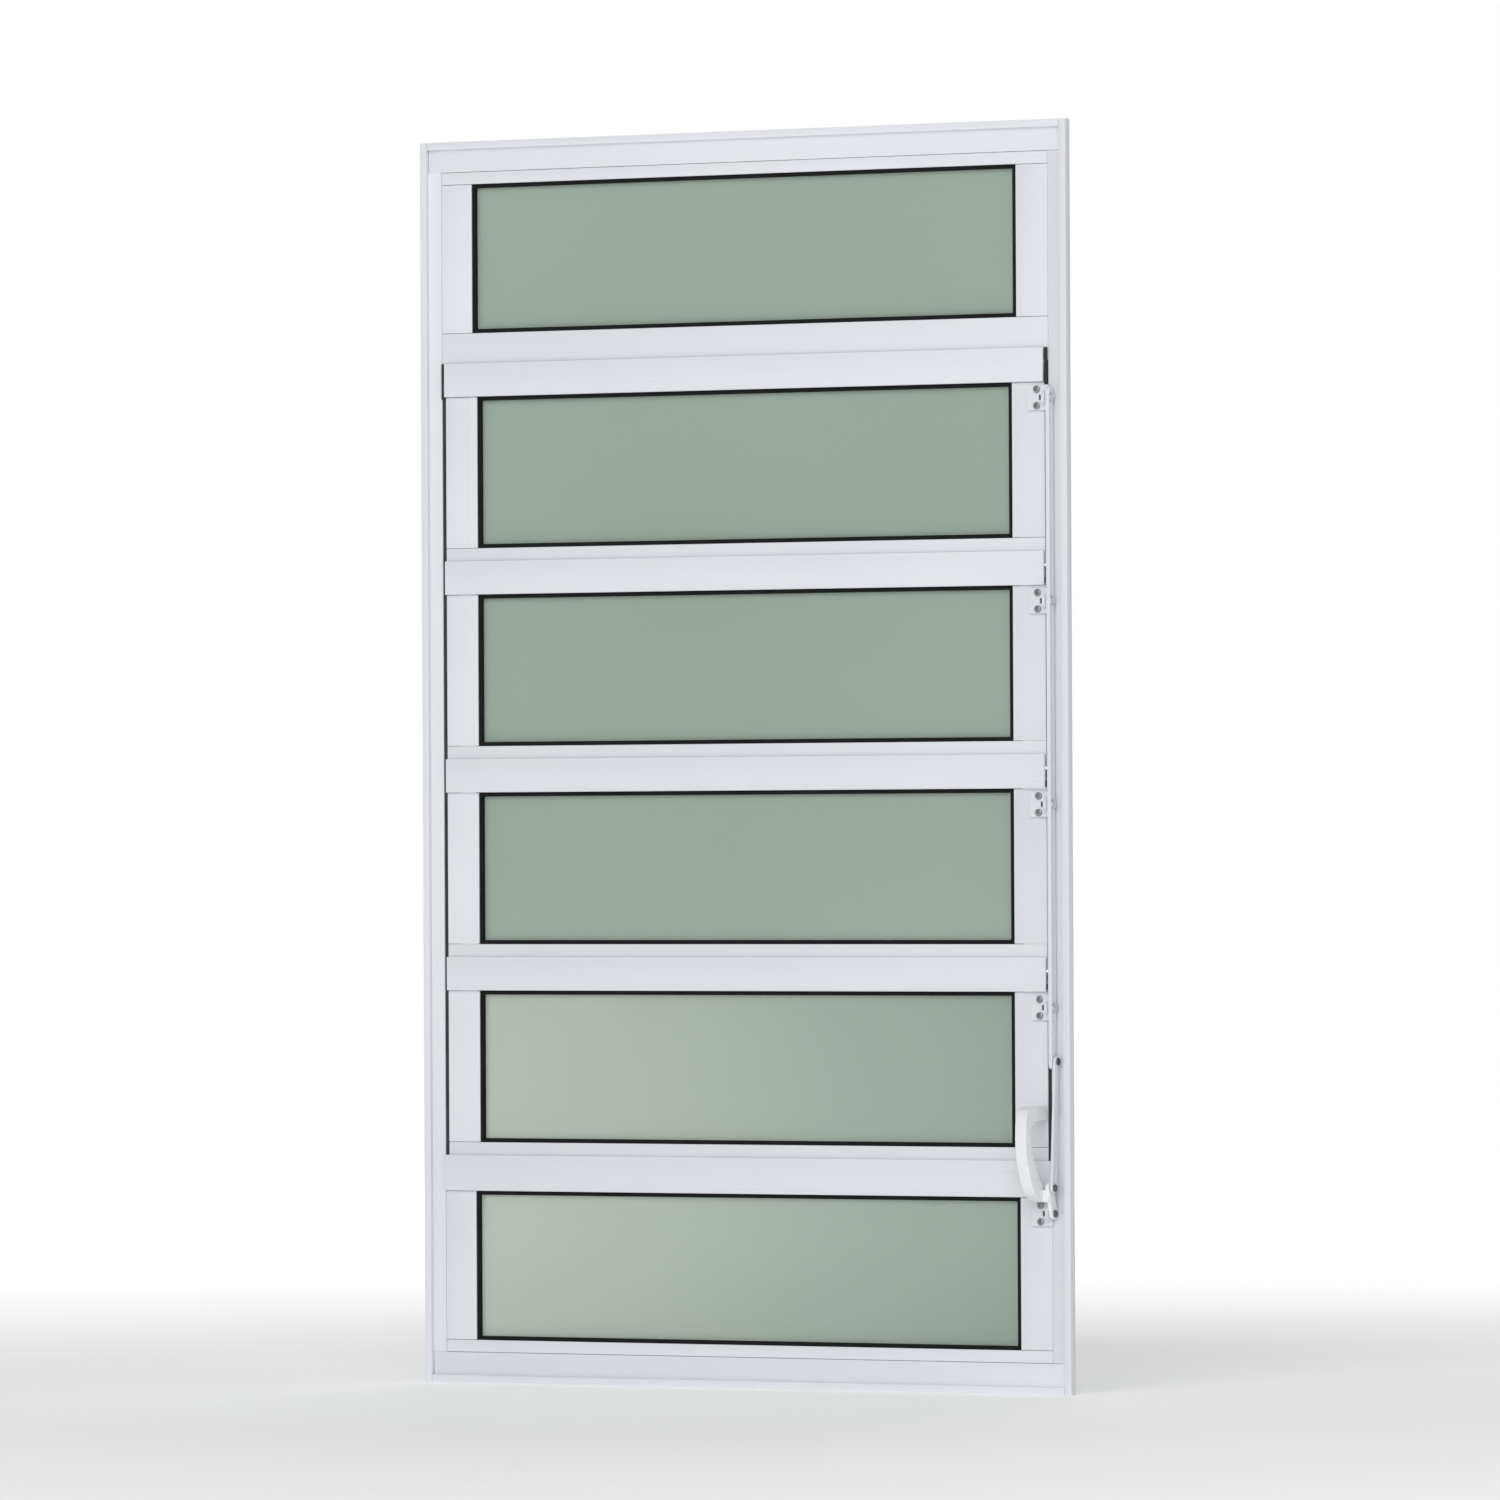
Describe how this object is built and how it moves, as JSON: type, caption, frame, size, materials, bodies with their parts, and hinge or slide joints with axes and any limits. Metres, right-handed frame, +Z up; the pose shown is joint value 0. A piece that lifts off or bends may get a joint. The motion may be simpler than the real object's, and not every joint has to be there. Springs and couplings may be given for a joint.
{
  "type": "tilting window",
  "caption": "White aluminium tilting window: glazed sashes tip together on side pivots, driven by a rod, a link and a D-shaped handle, between fixed glazed lights.",
  "frame": {"origin": "centre of the underside of the frame's front lip; y = 0 is the plane of the frame's flat and the sashes' fronts", "axes": "+X to the right as seen from the room, -Y towards the room, +Z up"},
  "size_m": [0.6, 0.0667, 1],
  "materials": {
    "white_enamel": "white powder coat, satin",
    "handle_enamel": "white enamel, slightly glossier than the frame",
    "glass": "grey-green tinted float glass, polished",
    "gasket_rubber": "matt black extruded rubber",
    "pivot_nylon": "dark grey nylon",
    "plated_steel": "zinc-plated steel"
  },
  "bodies": {
    "frame": {"frame_head": "white_enamel", "frame_sill": "white_enamel", "frame_jamb_left": "white_enamel", "frame_jamb_right": "white_enamel", "transom_upper": "white_enamel", "transom_lower": "white_enamel", "top_light_rail": "white_enamel", "top_light_stile_left": "white_enamel", "top_light_stile_right": "white_enamel", "top_light_glass": "glass", "top_light_gasket": "gasket_rubber", "bottom_light_rail": "white_enamel", "bottom_light_stile_left": "white_enamel", "bottom_light_stile_right": "white_enamel", "bottom_light_glass": "glass", "bottom_light_gasket": "gasket_rubber", "handle_bracket": "white_enamel", "handle_pivot_pin": "plated_steel"},
    "sash_1": {"sash_1_top_rail": "white_enamel", "sash_1_bottom_rail": "white_enamel", "sash_1_stile_left": "white_enamel", "sash_1_stile_right": "white_enamel", "sash_1_glass": "glass", "sash_1_gasket": "gasket_rubber", "sash_1_bracket": "white_enamel", "sash_1_pivot_left": "pivot_nylon", "sash_1_pivot_right": "pivot_nylon"},
    "sash_2": {"sash_2_top_rail": "white_enamel", "sash_2_bottom_rail": "white_enamel", "sash_2_stile_left": "white_enamel", "sash_2_stile_right": "white_enamel", "sash_2_glass": "glass", "sash_2_gasket": "gasket_rubber", "sash_2_bracket": "white_enamel", "sash_2_pivot_left": "pivot_nylon", "sash_2_pivot_right": "pivot_nylon"},
    "sash_3": {"sash_3_top_rail": "white_enamel", "sash_3_bottom_rail": "white_enamel", "sash_3_stile_left": "white_enamel", "sash_3_stile_right": "white_enamel", "sash_3_glass": "glass", "sash_3_gasket": "gasket_rubber", "sash_3_bracket": "white_enamel", "sash_3_pivot_left": "pivot_nylon", "sash_3_pivot_right": "pivot_nylon"},
    "sash_4": {"sash_4_top_rail": "white_enamel", "sash_4_bottom_rail": "white_enamel", "sash_4_stile_left": "white_enamel", "sash_4_stile_right": "white_enamel", "sash_4_glass": "glass", "sash_4_gasket": "gasket_rubber", "sash_4_bracket": "white_enamel", "sash_4_pivot_left": "pivot_nylon", "sash_4_pivot_right": "pivot_nylon"},
    "rod": {"link_rod": "white_enamel"},
    "handle": {"handle_lever": "handle_enamel", "link_lower_pin": "plated_steel"},
    "link": {"handle_link": "white_enamel", "link_upper_rivet": "plated_steel"}
  },
  "joints": [
    {"name": "sash_1_tilt", "type": "hinge", "parent": "frame", "child": "sash_1", "pos_m": [0, 0.009, 0.7358], "axis": [1, 0, 0], "range_deg": [0, 60]},
    {"name": "sash_2_tilt", "type": "hinge", "parent": "frame", "child": "sash_2", "pos_m": [0, 0.009, 0.5763], "axis": [1, 0, 0], "range_deg": [0, 60]},
    {"name": "sash_3_tilt", "type": "hinge", "parent": "frame", "child": "sash_3", "pos_m": [0, 0.009, 0.4168], "axis": [1, 0, 0], "range_deg": [0, 60]},
    {"name": "sash_4_tilt", "type": "hinge", "parent": "frame", "child": "sash_4", "pos_m": [0, 0.009, 0.2573], "axis": [1, 0, 0], "range_deg": [0, 60]},
    {"name": "rod_swing", "type": "hinge", "parent": "sash_1", "child": "rod", "pos_m": [0.2854, -0.0048, 0.7818], "axis": [1, 0, 0], "range_deg": [-60, 0]},
    {"name": "handle_turn", "type": "hinge", "parent": "frame", "child": "handle", "pos_m": [0.2854, -0.0048, 0.142], "axis": [1, 0, 0], "range_deg": [0, 114.2]},
    {"name": "link_swing", "type": "hinge", "parent": "handle", "child": "link", "pos_m": [0.289, -0.0105, 0.1622], "axis": [1, 0, 0], "range_deg": [-101.2, 0]}
  ],
  "couplings": [
    {"joint": "sash_2_tilt", "follows": "sash_1_tilt", "ratio": 1},
    {"joint": "sash_3_tilt", "follows": "sash_1_tilt", "ratio": 1},
    {"joint": "sash_4_tilt", "follows": "sash_1_tilt", "ratio": 1},
    {"joint": "rod_swing", "follows": "sash_1_tilt", "ratio": -1},
    {"joint": "handle_turn", "follows": "sash_1_tilt", "ratio": 1.9031},
    {"joint": "link_swing", "follows": "sash_1_tilt", "ratio": -1.6854}
  ]
}
